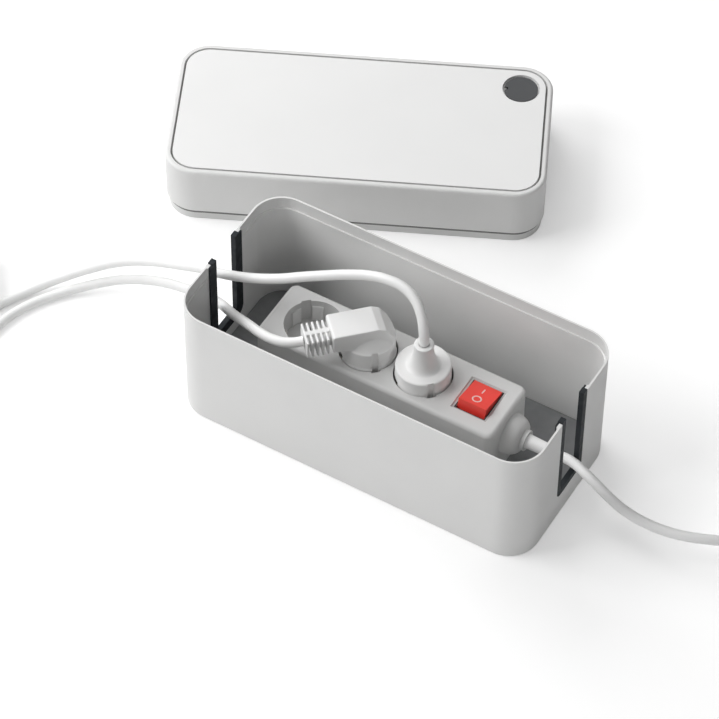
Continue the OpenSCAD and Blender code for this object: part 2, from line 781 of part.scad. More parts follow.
module straight_plug_body() {
    steps = 8;
    neck_z0 = disc_h + 1;
    neck_z1 = straight_h - 2.2;
    flare = [for (i = [0:steps])
        let (a = 90*i/steps)
        [trumpet_r - (trumpet_r - neck_r)*sin(a), neck_z1 - (neck_z1 - neck_z0)*cos(a)]];
    ring_half = 0.5;
    difference() {
        union() {
            translate([0, 0, -well_h]) cylinder(d = plug_in_d, h = well_h);
            cylinder(d = disc_d, h = disc_h - 0.6);
            translate([0, 0, disc_h - 0.6]) cylinder(d1 = disc_d, d2 = disc_d - 1.2, h = 0.6);
            rotate_extrude() polygon(concat([[0, disc_h - 0.1], [trumpet_r + 2.4, disc_h - 0.1]],
                                            flare, [[0, neck_z1]]));
            translate([0, 0, neck_z1]) cylinder(r = neck_r + ring_half, h = straight_h - neck_z1);
        }
        plug_grooves(disc_d/2, -well_h - 1, disc_h + 1);
        pin_bores();
    }
}

module straight_plug() {
    color([0.94, 0.94, 0.93]) at_socket(2) straight_plug_body();
}

module straight_plug_pins() {
    at_socket(2) plug_pins();
}

module angled_plug() {
    cone_h = 8;
    arm_z = arm_top - arm_th;
    arm_rear = 4;
    ramp = angled_d/2 - 0.6;
    side = [[-arm_len, arm_z], [0, arm_z - 3], [ramp, angled_disc_h - 1], [ramp, angled_disc_h + 1.5],
            [arm_rear + 5, arm_top - 2.2], [arm_rear, arm_top], [-arm_len + 1, arm_top],
            [-arm_len, arm_top - 1]];
    color([0.94, 0.94, 0.93]) at_socket(1) difference() {
        union() {
            translate([0, 0, -well_h]) cylinder(d = plug_in_d, h = well_h);
            cylinder(d = angled_d, h = angled_disc_h);
            translate([0, 0, angled_disc_h]) cylinder(d1 = angled_d - 1.6, d2 = 18, h = cone_h);
            intersection() {
                rotate([90, 0, 90]) translate([0, 0, -arm_w/2]) linear_extrude(arm_w) polygon(side);
                union() {
                    translate([-arm_w, -arm_len - 1, 0]) cube([2*arm_w, arm_len + 1, arm_top + 1]);
                    cylinder(d = angled_d, h = arm_top + 1);
                }
            }
        }
        plug_grooves(angled_d/2, -well_h - 1, angled_disc_h + cone_h);
        pin_bores();
    }
}

// Finned boot that lets the cord out of the arm
module angled_plug_boot() {
    color([0.94, 0.94, 0.93]) at_socket(1) translate([0, -arm_len, boot_z]) rotate([90, 0, 0]) {
        cylinder(r1 = boot_core_r + 1, r2 = boot_tip_r, h = boot_len);
        for (i = [1:fin_count]) translate([-fin_w/2, -fin_h/2, i*fin_pitch - fin_th])
            cube([fin_w, fin_h, fin_th]);
        translate([-fin_w/2 + 5, -1.2, 0]) cube([fin_w - 10, 2.4, boot_len]);
        translate([-1.6, 0, 0]) cube([3.2, fin_h/2, boot_len]);
    }
}

module angled_plug_pins() {
    at_socket(1) plug_pins();
}

// ---- Cords ----

function unit(v) = v/norm(v);

// Direction of the route at point i
function heading(p, i) = unit(p[min(i + 1, len(p) - 1)] - p[max(i - 1, 0)]);

// Ring of n points around the route at point i
function ring_at(p, i, r, n) =
    let (d = heading(p, i),
         side = unit(cross(d, abs(d[2]) > 0.8 ? [0, 1, 0] : [0, 0, 1])),
         up = cross(side, d))
    [for (k = [0:n - 1]) p[i] + r*(cos(360*k/n)*side + sin(360*k/n)*up)];

// Tube along a route
module tube(p, r, n = 10) {
    m = len(p);
    points = [for (i = [0:m - 1]) each ring_at(p, i, r, n)];
    sides = [for (i = [0:m - 2], k = [0:n - 1])
        [i*n + k, i*n + (k + 1)%n, (i + 1)*n + (k + 1)%n, (i + 1)*n + k]];
    first = [for (k = [0:n - 1]) n - 1 - k];
    last = [for (k = [0:n - 1]) (m - 1)*n + k];
    polyhedron(points = points, faces = concat([first], sides, [last]), convexity = 6);
}

module coil(at) {
    translate([at[0], at[1], coil_z]) rotate_extrude()
        translate([coil_r - coil_w/2, 0]) square([coil_w, coil_h]);
}

// Tie around one side of a coil, at an angle seen from above
module tie(at, turn) {
    gap = 0.5;
    translate([at[0], at[1], 0]) rotate(turn) translate([coil_r, 0, 0]) difference() {
        translate([-coil_w/2 - gap - tie_th, -tie_w/2, 0])
            cube([coil_w + 2*gap + 2*tie_th, tie_w, coil_z + coil_h + fit + tie_th]);
        translate([-coil_w/2 - gap, -tie_w/2 - 1, tie_th])
            cube([coil_w + 2*gap, tie_w + 2, coil_h + 2*fit]);
    }
}

// Places a coil's last stretch; m is 1 where the coil is wound clockwise
module at_tail(at, turn, m) {
    translate([at[0], at[1], 0]) rotate(turn) mirror([m, 0, 0]) children();
}

module at_lead_a() {
    at_tail(lead_a_coil_at, 0, 1) children();
}

module at_lead_b() {
    at_tail(lead_b_coil_at, 90, 1) children();
}

module at_supply() {
    at_tail(supply_coil_at, 60, 0) children();
}

module lead_a_cord() {
    color([0.93, 0.93, 0.92]) {
        tube(lead_a_route, cord_d/2);
        at_lead_a() tube(lead_tail, cord_d/2);
    }
}

module lead_b_cord() {
    color([0.93, 0.93, 0.92]) {
        tube(lead_b_route, cord_d/2);
        at_lead_b() tube(lead_tail, cord_d/2);
    }
}

module supply_cord() {
    color([0.93, 0.93, 0.92]) {
        tube(supply_route, cord_d/2);
        at_supply() tube(supply_tail, cord_d/2);
    }
}

module lead_a_coil() {
    color([0.93, 0.93, 0.92]) coil(lead_a_coil_at);
}

module lead_b_coil() {
    color([0.93, 0.93, 0.92]) coil(lead_b_coil_at);
}

module supply_coil() {
    color([0.93, 0.93, 0.92]) coil(supply_coil_at);
}

module lead_a_tie() {
    color([0.15, 0.15, 0.16]) tie(lead_a_coil_at, 60);
}

module lead_b_tie() {
    color([0.15, 0.15, 0.16]) tie(lead_b_coil_at, 180);
}

module supply_tie() {
    color([0.15, 0.15, 0.16]) tie(supply_coil_at, 200);
}

// Appliance connector at the end of a lead, with three contact slots
module connector() {
    end = lead_tail[len(lead_tail) - 1];
    body = [28, 20, 15];
    neck_len = 22;
    slot = [12, 1.8, 4.4];
    color([0.93, 0.93, 0.92]) translate([end[0], end[1] + neck_len, fit]) rotate(90) {
        difference() {
            translate([0, -body[1]/2, 0]) cube(body);
            for (i = [-1:1]) translate([body[0], 5*i, body[2]/2 + 1.5*abs(i) - 1])
                cube([2*slot[0], slot[1], slot[2]], center = true);
        }
        translate([-neck_len, 0, body[2]/2]) rotate([0, 90, 0])
            cylinder(r1 = cord_d/2 + 0.8, r2 = 5.5, h = neck_len + eps);
    }
}

module lead_a_connector() {
    at_lead_a() connector();
}

module lead_b_connector() {
    at_lead_b() connector();
}

// Place of the supply plug, on its side at the end of the cord
module at_supply_plug() {
    end = supply_tail[len(supply_tail) - 1];
    at_supply() translate([end[0], end[1] + straight_h, plug_in_d/2 + fit])
        rotate([90, 0, 0]) children();
}

module supply_plug() {
    color([0.93, 0.93, 0.92]) at_supply_plug() straight_plug_body();
}

module supply_plug_pins() {
    at_supply_plug() plug_pins();
}

box_shell();
slot_trim(1);  // slot_trim_left
slot_trim(0);  // slot_trim_right
floor_mat();
lid_shell();
lid_panel();
lid_stopper();
strip_base();
strip_top();
earth_clip(0);  // earth_clip_1
earth_clip(1);  // earth_clip_2
earth_clip(2);  // earth_clip_3
contact_rail(-1);  // contact_rail_near
contact_rail(1);  // contact_rail_far
strip_screws();
switch_frame();
rocker();
gland_ring();
cord_sleeve();
angled_plug();
angled_plug_boot();
angled_plug_pins();
straight_plug();
straight_plug_pins();
supply_cord();
supply_coil();
supply_tie();
supply_plug();
supply_plug_pins();
lead_a_cord();
lead_a_coil();
lead_a_tie();
lead_a_connector();
lead_b_cord();
lead_b_coil();
lead_b_tie();
lead_b_connector();
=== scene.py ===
import bmesh
import bpy
import json
import math
from mathutils import Matrix, Vector
from mathutils.geometry import interpolate_bezier


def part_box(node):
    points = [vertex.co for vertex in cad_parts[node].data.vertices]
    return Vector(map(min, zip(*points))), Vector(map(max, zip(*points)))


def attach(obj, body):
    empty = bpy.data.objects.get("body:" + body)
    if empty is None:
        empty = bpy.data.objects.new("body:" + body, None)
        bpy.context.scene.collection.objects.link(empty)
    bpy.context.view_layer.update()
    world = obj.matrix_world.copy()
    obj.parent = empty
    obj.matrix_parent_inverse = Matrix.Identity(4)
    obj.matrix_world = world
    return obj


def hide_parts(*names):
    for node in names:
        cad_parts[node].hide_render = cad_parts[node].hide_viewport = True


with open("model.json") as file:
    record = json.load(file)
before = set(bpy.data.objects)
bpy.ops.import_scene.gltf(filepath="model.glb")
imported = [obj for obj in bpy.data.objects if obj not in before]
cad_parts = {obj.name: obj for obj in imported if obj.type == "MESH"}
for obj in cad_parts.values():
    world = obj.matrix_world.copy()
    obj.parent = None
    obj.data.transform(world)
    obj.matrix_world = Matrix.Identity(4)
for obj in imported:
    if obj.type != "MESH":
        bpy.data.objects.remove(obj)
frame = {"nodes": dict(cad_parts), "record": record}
nodes = frame["nodes"]
scene = bpy.context.scene


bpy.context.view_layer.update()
scene.view_settings.view_transform = "Standard"


# ---- Camera: the photograph's viewing angle ----

FOCAL_PX = 3692.976
PICTURE_PX = 719
SENSOR_MM = 36.0
AZIMUTH, ELEVATION, ROLL = (math.radians(a) for a in (29.963, 50.115, 0.698))
DISTANCE = 2.321665
LOOK_AT = Vector((-0.042956, 0.032231, 0.0))


def add_camera():
    back = Vector((math.sin(AZIMUTH) * math.cos(ELEVATION),
                   -math.cos(AZIMUTH) * math.cos(ELEVATION),
                   math.sin(ELEVATION)))
    level = Vector((math.cos(AZIMUTH), math.sin(AZIMUTH), 0.0))
    steep = back.cross(level)
    right = level * math.cos(ROLL) + steep * math.sin(ROLL)
    up = steep * math.cos(ROLL) - level * math.sin(ROLL)
    data = bpy.data.cameras.new("camera")
    data.sensor_fit = "HORIZONTAL"
    data.sensor_width = SENSOR_MM
    data.lens = SENSOR_MM * FOCAL_PX / PICTURE_PX
    data.clip_start, data.clip_end = 0.05, 50.0
    obj = bpy.data.objects.new("camera", data)
    scene.collection.objects.link(obj)
    facing = Matrix((right, up, back)).transposed().to_4x4()
    obj.matrix_world = Matrix.Translation(LOOK_AT + back * DISTANCE) @ facing
    scene.camera = obj


add_camera()


# ---- Cords: in millimetres, with the same routes and coils as in the part's source ----

CORD_D = 6.4
LEAD_A_ROUTE = [
    (16.9, 6.3, 78.2), (15, 8.5, 87.5), (10.3, 13.1, 95.4), (3, 17.5, 100.5), (-6, 20, 103.1),
    (-16.5, 20.5, 103), (-27, 20, 101), (-42, 17, 96.5), (-56, 13, 91.5), (-70.5, 8.5, 86),
    (-84.5, 4.5, 80), (-103, 0.2, 74.2), (-122, -4.4, 71.9), (-135, -4.6, 69), (-150, -4, 62.5),
    (-176, -1.2, 48.5), (-200, -0.6, 33), (-220, -4, 18.5), (-236, -12.5, 9), (-249, -27, 4.3),
    (-259, -45, 3.3), (-267, -62, 3.3), (-274.9, -78.8, 4.1),
]
LEAD_B_ROUTE = [
    (-50.6, -22.3, 69), (-59, -27, 67), (-69, -28.5, 65.5), (-79.5, -26.5, 63.5),
    (-88.5, -22.5, 60), (-97, -18, 55.5), (-105, -13.5, 50.5), (-113.5, -8.5, 46),
    (-122, -4.2, 43), (-135, -1.6, 40.5), (-150, 0, 36.5), (-167, 1.8, 30.5), (-181, 2.3, 24.3),
    (-194, 1.6, 17.8), (-206, -1, 12), (-217, -6.5, 7.4), (-228, -15.5, 4.3), (-238, -28, 3.3),
    (-246, -42, 3.2), (-251, -57, 3.2), (-252.5, -75, 3.2), (-249, -95, 3.2), (-242.5, -115, 3.4),
    (-238, -136.3, 4.1),
]
SUPPLY_ROUTE = [
    (112.1, 6.3, 31.5), (122, 5.9, 31.3), (132, 3.2, 30), (142, 0.2, 28), (152, -2.8, 26),
    (163, -5, 23.8), (176, -5.4, 21.7), (190, -4, 20.5), (205, -0.2, 20), (221, 7.3, 18.8),
    (236, 17, 14.5), (249, 29, 9), (259.5, 43.5, 5), (266.2, 55.5, 4), (272.2, 66.4, 4.1),
]

# Last stretch of a cord, seen from the middle of its coil: over the turns and off to its far end
LEAD_TAIL = [
    (-5.3, -30.3, 17), (10.5, -29, 19.3), (24.5, -21, 22.8), (35, -8.5, 23.8), (42, 7, 21),
    (45, 23.5, 14.5), (45, 38, 9), (45, 50, 7.6),
]
SUPPLY_TAIL = [
    (-5.3, -30.3, 17), (10.5, -29, 19.3), (24.5, -21, 22.8), (35, -8.5, 23.8), (42, 4, 21.4),
    (45, 18, 18.7), (45, 32, 17.8),
]

# Where each coil lies, the angle at which its cord arrives, and how its tail is turned
LEAD_A_COIL = {"at": (-308, -62), "entry": -153, "turn": 0, "mirrored": True, "tail": LEAD_TAIL}
LEAD_B_COIL = {"at": (-275, -140), "entry": -95.7, "turn": 90, "mirrored": True, "tail": LEAD_TAIL}
SUPPLY_COIL = {"at": (240, 85), "entry": -90, "turn": 60, "mirrored": False, "tail": SUPPLY_TAIL}

# Radius at the middle of a coil's turns, and the height of its underside, where it lies on its tie
COIL_R = 34.0
COIL_Z = 0.9
# Degrees: between two points, to the first change of seat, between two changes, for one change,
# and the least that is wound
COIL_STEP = 30
FIRST_CHANGE = 210
CHANGE_EVERY = 300
CHANGE_TAKES = 120
LEAST_WOUND = 1745

# Length of a point's handles as a share of the way to the next point, along a route and in a coil
ROUTE_REACH = 0.39
COIL_REACH = 0.34
# Places on the curve from one point to the next where a cord's length is measured
MEASURED_AT = 9


def ease(t):
    """Soft step from 0 to 1 while t goes from 0 to 1."""
    return 0.5 - 0.5 * math.cos(math.pi * min(max(t, 0.0), 1.0))


def coil_points(at, entry, turn, mirrored, tail):
    """Coil two turns wide and three high, from where its cord arrives, and the tail that leaves it."""
    half = CORD_D / 2
    outer, inner = COIL_R + half, COIL_R - half
    seats = [(outer, 0), (inner, 0), (inner, 1), (outer, 1), (outer, 2), (inner, 2)]
    wound = (math.degrees(math.atan2(tail[0][1], tail[0][0])) - entry) % 360
    while wound < LEAST_WOUND:
        wound += 360
    count = math.ceil(wound / COIL_STEP)
    points = []
    for i in range(1, count):
        theta = wound * i / count
        r, row = seats[0]
        for k, (seat, following) in enumerate(zip(seats, seats[1:])):
            share = ease((theta - FIRST_CHANGE - CHANGE_EVERY * k) / CHANGE_TAKES)
            r += share * (following[0] - seat[0])
            row += share * (following[1] - seat[1])
        angle = math.radians(entry + theta)
        points.append((r * math.cos(angle), r * math.sin(angle), COIL_Z + half + row * CORD_D))
    points += tail
    c, s = math.cos(math.radians(turn)), math.sin(math.radians(turn))
    side = -1 if mirrored else 1
    return [(at[0] + side * x * c - y * s, at[1] + side * x * s + y * c, z) for x, y, z in points]


def shape_handles(stops, coil_from):
    """Handles that lead a cord softly along its route, and along arcs of circles in its coil."""
    for i in range(1, len(stops) - 1):
        a, b, c = stops[i - 1:i + 2]
        before, ahead = b.co - a.co, c.co - b.co
        reach = ROUTE_REACH if i < coil_from else COIL_REACH
        along = (before / before.length + ahead / ahead.length).normalized()
        b.handle_left = b.co - along * before.length * reach
        b.handle_right = b.co + along * ahead.length * reach
    first, second, third, last = stops[0], stops[1], stops[-2], stops[-1]
    out = (second.handle_left - first.co).normalized() * (second.co - first.co).length * ROUTE_REACH
    home = (last.co - third.handle_right).normalized() * (last.co - third.co).length * ROUTE_REACH
    first.handle_left, first.handle_right = first.co - out, first.co + out
    last.handle_left, last.handle_right = last.co - home, last.co + home


def length_of(stops):
    """Length of a Bezier spline in metres."""
    length = 0.0
    for a, b in zip(stops, stops[1:]):
        path = interpolate_bezier(a.co, a.handle_right, b.handle_left, b.co, MEASURED_AT)
        length += sum((q - p).length for p, q in zip(path, path[1:]))
    return length


def cord(name, route, coil, stands_for):
    """Round cord along its route and through its coil, and its length in metres."""
    points = route + coil_points(**coil)
    data = bpy.data.curves.new(name, "CURVE")
    data.dimensions = "3D"
    data.bevel_depth = 1.0  # each point's radius then is the cord's own
    data.bevel_resolution = 4
    data.resolution_u = 5
    data.use_fill_caps = True
    data.twist_mode = "MINIMUM"
    spline = data.splines.new("BEZIER")
    spline.bezier_points.add(len(points) - 1)
    stops = list(spline.bezier_points)
    for stop, point in zip(stops, points):
        stop.co = Vector(point) / 1000
        stop.radius = CORD_D / 2000
        stop.handle_left_type = stop.handle_right_type = "FREE"
    shape_handles(stops, len(route))
    obj = bpy.data.objects.new(name, data)
    scene.collection.objects.link(obj)
    bpy.context.view_layer.update()
    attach(obj, "box")
    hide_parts(*stands_for)
    return obj, length_of(stops)


lead_a, lead_a_length = cord("lead_a_run", LEAD_A_ROUTE, LEAD_A_COIL, ["lead_a_cord", "lead_a_coil"])
lead_b, lead_b_length = cord("lead_b_run", LEAD_B_ROUTE, LEAD_B_COIL, ["lead_b_cord", "lead_b_coil"])
supply, supply_length = cord("supply_run", SUPPLY_ROUTE, SUPPLY_COIL, ["supply_cord", "supply_coil"])


# ---- Materials: moulded plastics, rubber and metals with their fine surface ----

PLASTIC_IOR = 1.46
# The middle range of Blender's noise, which is spread over a patch's whole change
NOISE_LOW, NOISE_HIGH = 0.3, 0.7
TONE_DETAIL, ROUGH_DETAIL, GRAIN_DETAIL = 3, 2, 4
# How much finer the patches of roughness are than those of tone
ROUGH_FINER = 3
# Colour sockets of a Mix node, which shares their names with its number sockets
MIX_A, MIX_B, MIX_RESULT = 6, 7, 2

finishes = {}


def noise(tree, scale, detail):
    """Noise that lies in the object's own space."""
    where = tree.nodes.new("ShaderNodeTexCoord")
    made = tree.nodes.new("ShaderNodeTexNoise")
    made.inputs["Scale"].default_value = scale
    made.inputs["Detail"].default_value = detail
    tree.links.new(where.outputs["Object"], made.inputs["Vector"])
    return made.outputs["Fac"]


def patches(tree, scale, detail, level, change):
    """Soft patches between level - change and level + change."""
    spread = tree.nodes.new("ShaderNodeMapRange")
    spread.inputs["From Min"].default_value = NOISE_LOW
    spread.inputs["From Max"].default_value = NOISE_HIGH
    spread.inputs["To Min"].default_value = level - change
    spread.inputs["To Max"].default_value = level + change
    tree.links.new(noise(tree, scale, detail), spread.inputs["Value"])
    return spread.outputs["Result"]


def add_finish(name, colour, rough, grain=None, tone=None, rough_change=0.0, metal=0.0, coat=0.0,
               subsurface=0.0, slot=None):
    """Material, kept with the record's slot that it goes by, which is its own name if none is given.

    grain is (noise scale, height in metres) of the surface, and tone is (share of the colour, noise
    scale) of its patches. The patches of roughness need the tone's noise scale too.
    """
    material = bpy.data.materials.new(name)
    material.use_nodes = True
    tree = material.node_tree
    surface = tree.nodes["Principled BSDF"].inputs
    surface["Base Color"].default_value = (*colour, 1)
    surface["Roughness"].default_value = rough
    surface["Metallic"].default_value = metal
    surface["IOR"].default_value = PLASTIC_IOR
    surface["Coat Weight"].default_value = coat
    surface["Subsurface Weight"].default_value = subsurface
    if tone:
        mix = tree.nodes.new("ShaderNodeMix")
        mix.data_type, mix.blend_type = "RGBA", "MULTIPLY"
        mix.inputs["Factor"].default_value = 1.0
        mix.inputs[MIX_A].default_value = (*colour, 1)
        tree.links.new(patches(tree, tone[1], TONE_DETAIL, 1, tone[0]), mix.inputs[MIX_B])
        tree.links.new(mix.outputs[MIX_RESULT], surface["Base Color"])
    if rough_change:
        fine = patches(tree, tone[1] * ROUGH_FINER, ROUGH_DETAIL, rough, rough_change)
        tree.links.new(fine, surface["Roughness"])
    if grain:
        bump = tree.nodes.new("ShaderNodeBump")
        bump.inputs["Strength"].default_value = 1.0
        bump.inputs["Distance"].default_value = grain[1]
        tree.links.new(noise(tree, grain[0], GRAIN_DETAIL), bump.inputs["Height"])
        tree.links.new(bump.outputs["Normal"], surface["Normal"])
    finishes[name] = (material, slot or name)
    return material


def dress(obj, name):
    """Gives obj a finish."""
    material, slot = finishes[name]
    obj.data.materials.clear()
    obj.data.materials.append(material)


# Finishes of the record's slots
add_finish("body_white", (0.81, 0.81, 0.803), 0.5, (1800, 3e-5), (0.012, 25), 0.06)
# The lid's panel is a lighter copy of the lid's white, which paints the stronger light on the lid's top
add_finish("panel_white", (0.89, 0.89, 0.885), 0.45, (1800, 2e-5), (0.01, 20), 0.05)
add_finish("stopper_grey", (0.085, 0.088, 0.092), 0.5, (1500, 3e-5), (0.03, 60), 0.05)
add_finish("trim_dark", (0.014, 0.018, 0.022), 0.72, (1200, 4e-5), (0.08, 80), 0.08)
add_finish("mat_dark", (0.24, 0.245, 0.25), 0.85, (900, 1e-4), (0.08, 90))
add_finish("strip_grey", (0.64, 0.64, 0.635), 0.5, (1400, 4e-5), (0.015, 40), 0.05)
add_finish("switch_grey", (0.47, 0.47, 0.468), 0.48, (1400, 3e-5), (0.015, 40), 0.05)
add_finish("rocker_red", (0.93, 0.06, 0.045), 0.33, (500, 2e-5), (0.03, 60), 0.05, coat=0.3,
           subsurface=0.1)
add_finish("plug_white", (0.89, 0.89, 0.885), 0.4, (1500, 3e-5), (0.012, 50), 0.05)
add_finish("cord_white", (0.93, 0.93, 0.925), 0.38, (700, 4e-5), (0.015, 60), 0.05)
add_finish("tie_dark", (0.03, 0.03, 0.03), 0.6, (2500, 1e-4), (0.1, 200), 0.1)
add_finish("contact_brass", (0.3, 0.29, 0.27), 0.5, (800, 2e-5), (0.08, 90), 0.08, metal=1.0)
add_finish("pin_metal", (0.72, 0.71, 0.69), 0.22, (1500, 1e-5), (0.02, 90), 0.05, metal=1.0)
add_finish("screw_steel", (0.6, 0.6, 0.6), 0.35, (1500, 1e-5), (0.03, 90), 0.06, metal=1.0)

# Finishes of small pieces
# Black that paints the shade in the gap round the rocker
add_finish("gap_shade_black", (0.008, 0.009, 0.01), 0.8, (1500, 3e-5), (0.1, 90), slot="trim_dark")
# Dark grey that paints the shade in the lid's groove and under its skirt
add_finish("shade_line_grey", (0.22, 0.22, 0.215), 0.7, (1500, 3e-5), (0.05, 90), slot="stopper_grey")
# Lighter copy of the strip's grey that paints the light on the guide blocks in the wells
add_finish("guide_lit_grey", (0.78, 0.78, 0.775), 0.45, (1400, 3e-5), (0.015, 60), 0.05, slot="strip_grey")
add_finish("mark_white", (0.9, 0.6, 0.57), 0.4, (1500, 1e-5), (0.02, 200), slot="plug_white")

for part in frame["record"]["subparts"]:
    dress(nodes[part["node"]], part["material_slot"])
for run in (lead_a, lead_b, supply):
    dress(run, "cord_white")


# ---- Soft moulded edges of the solids: radius in millimetres ----

EDGES = {
    "box_shell": 0.25, "lid_shell": 0.5, "lid_panel": 0.4, "lid_stopper": 0.4,
    "slot_trim_left": 0.9, "slot_trim_right": 0.9, "floor_mat": 0.5,
    "strip_top": 0.5, "strip_base": 0.4, "switch_frame": 0.3, "rocker": 0.6,
    "gland_ring": 0.6, "cord_sleeve": 0.3, "lead_a_connector": 1.4, "lead_b_connector": 1.4,
}


def soften(obj, radius, segments, least_turn):
    """Rounds the edges that turn by more than least_turn degrees."""
    bevel = obj.modifiers.new("edges", "BEVEL")
    bevel.width = radius / 1000
    bevel.segments = segments
    bevel.limit_method = "ANGLE"
    bevel.angle_limit = math.radians(least_turn)


for node, radius in EDGES.items():
    soften(nodes[node], radius, segments=3, least_turn=35)


# ---- Moulded plugs: the solids with every edge melted ----

def moulded(node, cell, rounds, turn=0.0):
    """Smoothed copy of a node; cell is the size of its mesh's faces in mm, in line with turn."""
    into_line = Matrix.Rotation(math.radians(-turn), 4, "Z")
    obj = bpy.data.objects.new(node + "_moulded", nodes[node].data.copy())
    obj.data.transform(into_line)
    scene.collection.objects.link(obj)
    even = obj.modifiers.new("even", "REMESH")
    even.mode = "VOXEL"
    even.voxel_size = cell / 1000
    soft = obj.modifiers.new("soft", "SMOOTH")
    soft.factor = 0.5
    soft.iterations = rounds
    shaped = bpy.data.meshes.new_from_object(obj.evaluated_get(bpy.context.evaluated_depsgraph_get()))
    obj.modifiers.clear()
    obj.data = shaped
    shaped.transform(into_line.inverted())
    shaped.shade_smooth()
    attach(obj, "box")
    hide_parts(node)
    dress(obj, "plug_white")
    return obj


angled_plug = moulded("angled_plug", cell=0.45, rounds=7)
angled_plug_boot = moulded("angled_plug_boot", cell=0.35, rounds=4)
supply_plug = moulded("supply_plug", cell=0.45, rounds=7, turn=SUPPLY_COIL["turn"] - 90)


# ---- Where the solids are, in millimetres ----

def middle(node):
    """Middle of a node's box."""
    low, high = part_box(node)
    return (low + high) / 2 * 1000


def top(node):
    """Height of a node's highest point."""
    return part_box(node)[1].z * 1000


# The strip's face, and its sockets, which are turned; the last one holds the straight plug
FACE_Z = top("strip_top")
SOCKETS = [middle("earth_clip_%d" % (i + 1)) for i in range(3)]
SOCKET_TURN = -45
STRAIGHT_PLUG_IN = 2
# The switch, and the height and half size of its bezel
SWITCH = middle("switch_frame")
BEZEL_Z = top("switch_frame")
BEZEL = (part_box("switch_frame")[1] * 1000 - SWITCH).xy


# ---- Ways to make a small piece, in millimetres and degrees ----

def place(x, y, z, turn=0.0, tilt=0.0):
    """Where a piece is: turned about Z and tilted about its own X."""
    return (Matrix.Translation((x, y, z)) @ Matrix.Rotation(math.radians(turn), 4, "Z")
            @ Matrix.Rotation(math.radians(tilt), 4, "X"))


def piece(name, corners, faces, at, body, look, edge=0.0, smooth=False):
    """Mesh piece given in its own place, which rides on a body."""
    data = bpy.data.meshes.new(name)
    data.from_pydata([at @ Vector(c) / 1000 for c in corners], [], faces)
    data.validate()
    mesh = bmesh.new()
    mesh.from_mesh(data)
    bmesh.ops.recalc_face_normals(mesh, faces=mesh.faces)
    mesh.to_mesh(data)
    mesh.free()
    obj = bpy.data.objects.new(name, data)
    scene.collection.objects.link(obj)
    if smooth:
        data.shade_smooth()
    if edge:
        soften(obj, edge, segments=2, least_turn=40)
    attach(obj, body)
    dress(obj, look)
    return obj


def arc(centre, radii, start, stop, steps):
    """Points on an ellipse from one angle to another."""
    angles = [math.radians(start + (stop - start) * i / steps) for i in range(steps + 1)]
    return [(centre[0] + radii[0] * math.cos(a), centre[1] + radii[1] * math.sin(a)) for a in angles]


def swept(name, profile, at, body, look, turns=(0, 360), steps=72, edge=0.0, smooth=True):
    """Closed profile of (radius, height) points swept about the Z axis."""
    whole = turns[1] - turns[0] == 360
    n = len(profile)
    stops = steps if whole else steps + 1
    corners, faces = [], []
    for i in range(stops):
        a = math.radians(turns[0] + (turns[1] - turns[0]) * i / steps)
        corners += [(r * math.cos(a), r * math.sin(a), z) for r, z in profile]
    for i in range(steps):
        k = (i + 1) % stops
        for m in range(n):
            q = (m + 1) % n
            faces.append((i * n + m, k * n + m, k * n + q, i * n + q))
    if not whole:
        faces.append(tuple(reversed(range(n))))
        faces.append(tuple(range((stops - 1) * n, stops * n)))
    return piece(name, corners, faces, at, body, look, edge, smooth)


def frame_ring(name, inner, outer, heights, at, body, look, edge=0.0, lean=0.0):
    """Four-sided ring; inner and outer are half sizes, and its inner wall leans out by lean."""
    corners = []
    for z, out in zip(heights, (0.0, lean)):
        for w, d in ((inner[0] + out, inner[1] + out), outer):
            corners += [(-w, -d, z), (w, -d, z), (w, d, z), (-w, d, z)]
    faces = []
    for i in range(4):
        k = (i + 1) % 4
        faces += [(i, i + 4, k + 4, k), (i + 8, k + 8, k + 12, i + 12),
                  (i + 4, i + 12, k + 12, k + 4), (i, k, k + 8, i + 8)]
    return piece(name, corners, faces, at, body, look, edge)


def bar(name, width, length, heights, at, body, look, edge=0.0):
    """Bar along Y with round ends."""
    r, reach = width / 2, length / 2 - width / 2
    outline = arc((0, reach), (r, r), 0, 180, steps=16) + arc((0, -reach), (r, r), 180, 360, steps=16)
    n = len(outline)
    corners = [(x, y, z) for z in heights for x, y in outline]
    faces = [tuple(reversed(range(n))), tuple(range(n, 2 * n))]
    faces += [(i, (i + 1) % n, n + (i + 1) % n, n + i) for i in range(n)]
    return piece(name, corners, faces, at, body, look, edge)


# ---- Straight plug: a turned body with grooves, and the collar where its lead leaves it ----

# Degrees from one line of a turned body's points to the next, and from a groove's floor to its rim
LINE_STEP = 4
GROOVE_RIM = 0.15
# Edges of the plug that turn by more than this stay sharp
SHARP_FROM = 38


def in_socket(i):
    """Place on the strip's face in the middle of a socket."""
    return place(SOCKETS[i].x, SOCKETS[i].y, FACE_Z, SOCKET_TURN)


